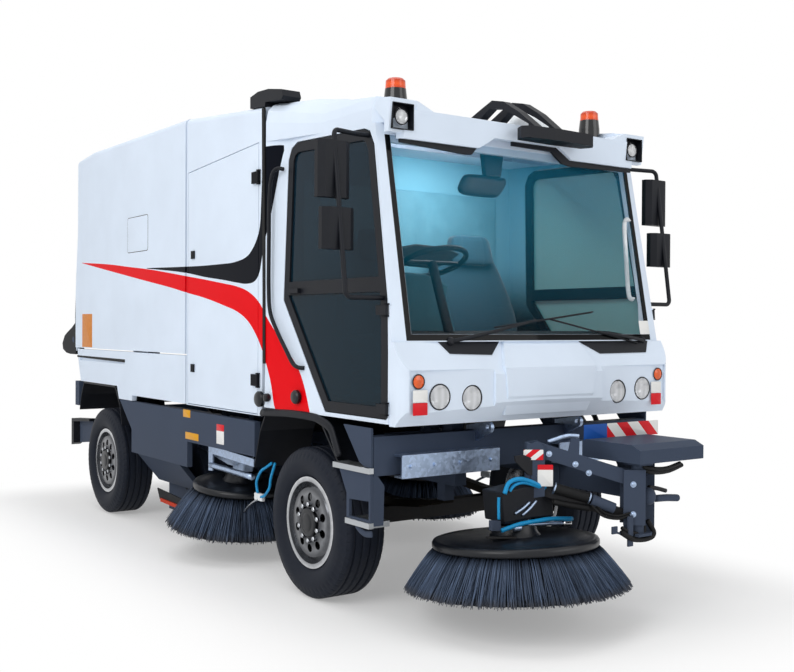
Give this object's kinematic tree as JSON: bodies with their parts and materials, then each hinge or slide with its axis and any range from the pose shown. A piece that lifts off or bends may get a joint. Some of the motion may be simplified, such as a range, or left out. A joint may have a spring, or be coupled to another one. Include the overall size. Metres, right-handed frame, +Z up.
{
  "type": "street sweeper truck",
  "caption": "Self-propelled street sweeper: glazed cab, tipping hopper behind, roller brush under the body, side disc brushes and a swinging front brush.",
  "frame": {"origin": "on the ground under the middle of the overall length and width", "axes": "+X forward, +Y to the vehicle's left, +Z up"},
  "size_m": [6.2806, 2.706, 3.1319],
  "materials": {
    "white_paint": "gloss",
    "grey_paint": "satin",
    "black_plastic": "satin",
    "tyre_rubber": "matte",
    "polished_rim": "polished",
    "galvanised": "galvanised",
    "dark_steel": "painted",
    "glass": "clear",
    "bristle": "matte",
    "lens": "clear lens",
    "amber": "clear lens",
    "seat_fabric": "woven",
    "dash_plastic": "grained"
  },
  "bodies": {
    "chassis": {"frame": "grey_paint", "tow_eyes": "grey_paint", "frame_brackets": "grey_paint", "roof_intake": "black_plastic", "bumper_channels": "galvanised", "side_skirts": "grey_paint", "lower_panels": "white_paint", "mudguards": "black_plastic", "step_units": "grey_paint", "front_axle": "dark_steel", "rear_axle": "dark_steel", "leaf_springs": "dark_steel", "engine": "dark_steel", "brush_hood": "grey_paint", "cab_shell": "white_paint", "windscreen": "glass", "roof_cap": "white_paint", "front_panel": "white_paint", "lamps": "lens", "beacons": "amber", "roof_mirror": "black_plastic", "seats": "seat_fabric", "dashboard": "dash_plastic", "steering_wheel": "dash_plastic", "service_bay": "white_paint", "brush_bracket": "grey_paint", "brush_cover": "grey_paint"},
    "knuckle_left": {"knuckle_left": "dark_steel"},
    "knuckle_right": {"knuckle_right": "dark_steel"},
    "hopper": {"hopper": "white_paint"},
    "tail_gate": {"tail_gate": "white_paint"},
    "ram_barrels": {"ram_barrels": "grey_paint"},
    "ram_rods": {"ram_rods": "galvanised"},
    "main_brush": {"main_brush": "bristle"},
    "front_post": {"brush_post": "grey_paint"},
    "front_upper_link": {"brush_upper_link": "grey_paint"},
    "front_lower_link": {"brush_lower_link": "dark_steel"},
    "front_head": {"brush_head": "dark_steel"},
    "front_brush": {"front_brush": "bristle"},
    "wheel_front_left": {"tyre_front_left": "tyre_rubber", "rim_front_left": "polished_rim"},
    "wheel_front_right": {"tyre_front_right": "tyre_rubber", "rim_front_right": "polished_rim"},
    "wheel_rear_left": {"tyre_rear_left": "tyre_rubber", "rim_rear_left": "polished_rim"},
    "wheel_rear_right": {"tyre_rear_right": "tyre_rubber", "rim_rear_right": "polished_rim"},
    "door_left": {"door_left": "black_plastic", "door_glass_left": "glass", "mirror_left": "black_plastic"},
    "service_door_left": {"service_door_left": "white_paint"},
    "side_arm_left": {"side_arm_left": "galvanised"},
    "side_brush_left": {"side_brush_left": "bristle"},
    "door_right": {"door_right": "black_plastic", "door_glass_right": "glass", "mirror_right": "black_plastic"},
    "service_door_right": {"service_door_right": "white_paint"},
    "side_arm_right": {"side_arm_right": "galvanised"},
    "side_brush_right": {"side_brush_right": "bristle"}
  },
  "joints": [
    {"name": "steer_left", "type": "hinge", "parent": "chassis", "child": "knuckle_left", "pos_m": [1.41973, 0.77, 0.4475], "axis": [0, 0, 1], "range_deg": [-32, 32]},
    {"name": "steer_right", "type": "hinge", "parent": "chassis", "child": "knuckle_right", "pos_m": [1.41973, -0.77, 0.4475], "axis": [0, 0, 1], "range_deg": [-32, 32]},
    {"name": "wheel_front_left_spin", "type": "hinge", "parent": "knuckle_left", "child": "wheel_front_left", "pos_m": [1.41973, 0.884, 0.4475], "axis": [0, 1, 0], "continuous": true},
    {"name": "wheel_front_right_spin", "type": "hinge", "parent": "knuckle_right", "child": "wheel_front_right", "pos_m": [1.41973, -0.884, 0.4475], "axis": [0, 1, 0], "continuous": true},
    {"name": "wheel_rear_left_spin", "type": "hinge", "parent": "chassis", "child": "wheel_rear_left", "pos_m": [-2.01027, 0.884, 0.4475], "axis": [0, 1, 0], "continuous": true},
    {"name": "wheel_rear_right_spin", "type": "hinge", "parent": "chassis", "child": "wheel_rear_right", "pos_m": [-2.01027, -0.884, 0.4475], "axis": [0, 1, 0], "continuous": true},
    {"name": "door_left_swing", "type": "hinge", "parent": "chassis", "child": "door_left", "pos_m": [2.28773, 1.05156, 1.18], "axis": [0.0467, 0.0304, -0.9984], "range_deg": [0, 70]},
    {"name": "service_door_left_swing", "type": "hinge", "parent": "chassis", "child": "service_door_left", "pos_m": [0.84473, 1.046, 1.266], "axis": [0, 0, -1], "range_deg": [0, 95]},
    {"name": "door_right_swing", "type": "hinge", "parent": "chassis", "child": "door_right", "pos_m": [2.28773, -1.05156, 1.18], "axis": [-0.0467, 0.0304, 0.9984], "range_deg": [0, 70]},
    {"name": "service_door_right_swing", "type": "hinge", "parent": "chassis", "child": "service_door_right", "pos_m": [0.84473, -1.046, 1.266], "axis": [0, 0, 1], "range_deg": [0, 95]},
    {"name": "hopper_tip", "type": "hinge", "parent": "chassis", "child": "hopper", "pos_m": [-2.82527, 0, 1.475], "axis": [0, -1, 0], "range_deg": [0, 50]},
    {"name": "tail_gate_lift", "type": "hinge", "parent": "hopper", "child": "tail_gate", "pos_m": [-2.70027, 0, 3.07], "axis": [0, 1, 0], "range_deg": [0, 75]},
    {"name": "ram_barrel_swing", "type": "hinge", "parent": "chassis", "child": "ram_barrels", "pos_m": [-0.68027, 0, 0.97], "axis": [0, -1, 0], "range_deg": [-16.9, 0.5]},
    {"name": "ram_rod_slide", "type": "slide", "parent": "ram_barrels", "child": "ram_rods", "axis": [-0.9701, 0, 0.2425], "range_m": [0, 0.28]},
    {"name": "main_brush_spin", "type": "hinge", "parent": "chassis", "child": "main_brush", "pos_m": [-0.91027, 0, 0.345], "axis": [0, 1, 0], "continuous": true},
    {"name": "side_arm_left_lower", "type": "hinge", "parent": "chassis", "child": "side_arm_left", "pos_m": [-0.51527, 0.77, 0.735], "axis": [0, 1, 0], "range_deg": [0, 7]},
    {"name": "side_brush_left_spin", "type": "hinge", "parent": "side_arm_left", "child": "side_brush_left", "pos_m": [0.05973, 0.77, 0.2], "axis": [0.1028, 0, 0.9947], "continuous": true},
    {"name": "side_arm_right_lower", "type": "hinge", "parent": "chassis", "child": "side_arm_right", "pos_m": [-0.51527, -0.77, 0.735], "axis": [0, 1, 0], "range_deg": [0, 7]},
    {"name": "side_brush_right_spin", "type": "hinge", "parent": "side_arm_right", "child": "side_brush_right", "pos_m": [0.05973, -0.77, 0.2], "axis": [0.1028, 0, 0.9947], "continuous": true},
    {"name": "front_swing", "type": "hinge", "parent": "chassis", "child": "front_post", "pos_m": [2.88973, 0.2, 0.68], "axis": [0, 0, 1], "range_deg": [0, 60]},
    {"name": "front_lift", "type": "hinge", "parent": "front_post", "child": "front_upper_link", "pos_m": [2.85529, 0.15087, 0.8], "axis": [0.8189, -0.574, 0], "range_deg": [-12, 17]},
    {"name": "front_lower_link_lift", "type": "hinge", "parent": "front_post", "child": "front_lower_link", "pos_m": [2.85529, 0.15087, 0.59], "axis": [0.8189, -0.574, 0], "range_deg": [-12.1, 17.1]},
    {"name": "front_head_level", "type": "hinge", "parent": "front_upper_link", "child": "front_head", "pos_m": [2.57748, -0.24547, 0.95], "axis": [0.8189, -0.574, 0], "range_deg": [-17.1, 12.1]},
    {"name": "front_brush_spin", "type": "hinge", "parent": "front_head", "child": "front_brush", "pos_m": [2.51473, -0.335, 0.2], "axis": [-0.068, 0, 0.9977], "continuous": true}
  ],
  "couplings": [
    {"joint": "steer_left", "follows": "steer_right", "ratio": 1},
    {"joint": "ram_barrel_swing", "follows": "hopper_tip", "ratio": -0.32838},
    {"joint": "ram_rod_slide", "follows": "hopper_tip", "m_per_rad": 0.31565},
    {"joint": "front_lower_link_lift", "follows": "front_lift", "ratio": 1},
    {"joint": "front_head_level", "follows": "front_lift", "ratio": -1}
  ]
}
